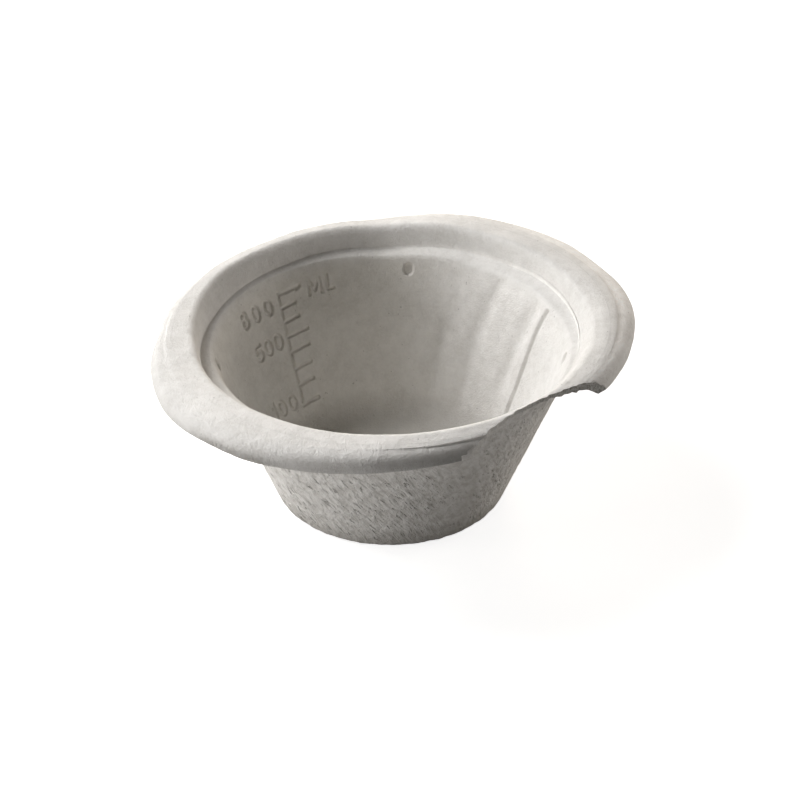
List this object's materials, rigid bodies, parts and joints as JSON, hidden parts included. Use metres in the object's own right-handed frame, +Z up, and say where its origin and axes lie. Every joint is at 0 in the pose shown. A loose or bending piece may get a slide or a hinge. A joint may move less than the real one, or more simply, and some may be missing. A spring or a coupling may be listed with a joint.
{
  "type": "disposable bowl",
  "caption": "Moulded pulp sick bowl: round tapered bowl with an oval turned-down rim, a chin notch cut in the rim and a volume scale sunk in the inner wall.",
  "frame": {"origin": "where the bowl's upright axis meets the surface it stands on", "axes": "+Z up along the bowl's axis, -Y towards the chin notch, +Y towards the volume scale, X along the longer way across the oval rim"},
  "size_m": [0.2298, 0.191, 0.0848],
  "materials": {
    "moulded_pulp": "matt grey moulded pulp, smooth inside and on the rim, rough and fibrous outside"
  },
  "bodies": {
    "root": {"pulp_bowl": "moulded_pulp"}
  },
  "joints": []
}
